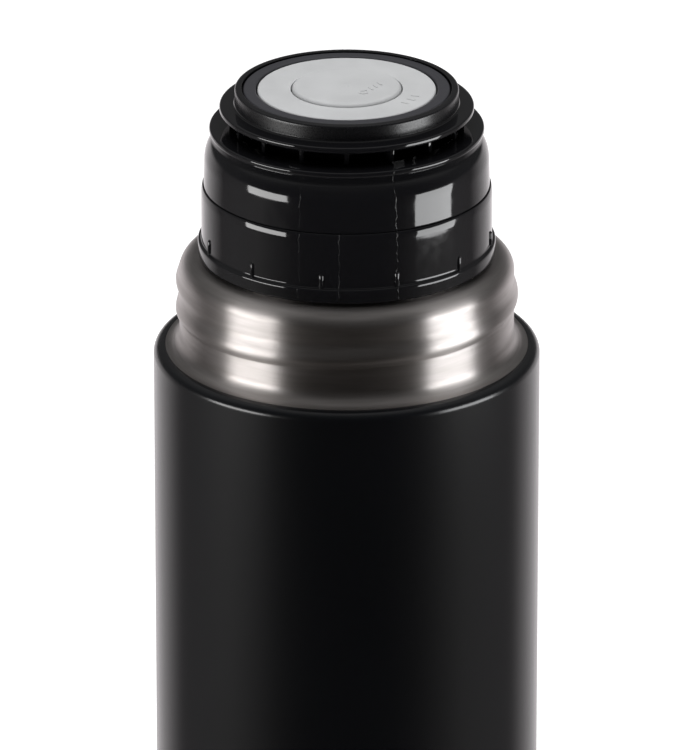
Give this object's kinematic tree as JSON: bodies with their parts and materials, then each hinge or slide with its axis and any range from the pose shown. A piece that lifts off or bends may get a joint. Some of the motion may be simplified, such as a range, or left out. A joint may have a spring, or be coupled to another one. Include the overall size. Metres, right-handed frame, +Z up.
{
  "type": "vacuum flask",
  "caption": "Slim vacuum flask: black casing, bare threaded steel neck, and a screw stopper with a push-button pouring valve.",
  "frame": {"origin": "centre of the foot ring, on the surface the flask stands on", "axes": "+Z up along the flask's axis, towards the button; -Y is the front, where the cup thread crosses between its two turns"},
  "size_m": [0.07, 0.07, 0.2319],
  "materials": {
    "matt_black_paint": "satin powder coat",
    "brushed_steel": "brushed round the axis",
    "polished_steel": "electropolished",
    "aluminium_foil": "bright foil",
    "gloss_black_plastic": "glossy as moulded",
    "satin_black_plastic": "satin",
    "grey_plastic": "satin, lightly textured",
    "white_plastic": "satin",
    "silicone": "matt",
    "foam": "foamed in place",
    "solder_glass": "fused bead",
    "getter_metal": "sintered",
    "spring_wire": "drawn wire"
  },
  "bodies": {
    "flask": {"body_casing": "matt_black_paint", "neck_ring": "brushed_steel", "inner_vessel": "polished_steel", "inner_bottom": "polished_steel", "radiation_foil": "aluminium_foil", "outer_bottom": "matt_black_paint", "base_plate": "satin_black_plastic", "vacuum_seal": "solder_glass", "getter": "getter_metal", "getter_clip": "spring_wire"},
    "gasket": {"neck_gasket": "silicone"},
    "stopper": {"plug_shell": "satin_black_plastic", "plug_insulation": "foam", "plug_lid": "satin_black_plastic", "stopper_skirt": "gloss_black_plastic", "pour_collar": "gloss_black_plastic", "top_cap": "gloss_black_plastic", "bezel_ring": "satin_black_plastic", "top_plate": "grey_plastic", "stem_seal": "silicone", "latch_sleeve": "white_plastic", "button_spring": "spring_wire"},
    "plunger": {"button": "grey_plastic", "valve_stem": "white_plastic", "valve_head": "white_plastic", "valve_seal": "silicone", "stem_clip": "spring_wire"},
    "rotor": {"latch_rotor": "white_plastic"}
  },
  "joints": [
    {"name": "stopper_lift", "type": "slide", "parent": "flask", "child": "gasket", "axis": [0, 0, 1], "range_m": [0, 0.00788]},
    {"name": "stopper_turn", "type": "hinge", "parent": "gasket", "child": "stopper", "pos_m": [0, 0, 0.2], "axis": [0, 0, 1], "range_deg": [0, 630]},
    {"name": "button_press", "type": "slide", "parent": "stopper", "child": "plunger", "axis": [0, 0, -1], "range_m": [0, 0.0035], "stiffness_N_per_m": 500, "springref_m": -0.004, "deforming": ["button_spring"]},
    {"name": "latch_turn", "type": "hinge", "parent": "plunger", "child": "rotor", "pos_m": [0, 0, 0.22], "axis": [0, 0, 1], "range_deg": [0, 45]}
  ],
  "couplings": [
    {"joint": "stopper_lift", "follows": "stopper_turn", "m_per_rad": 0.0007162},
    {"joint": "latch_turn", "follows": "button_press", "rad_per_m": 224.3}
  ]
}
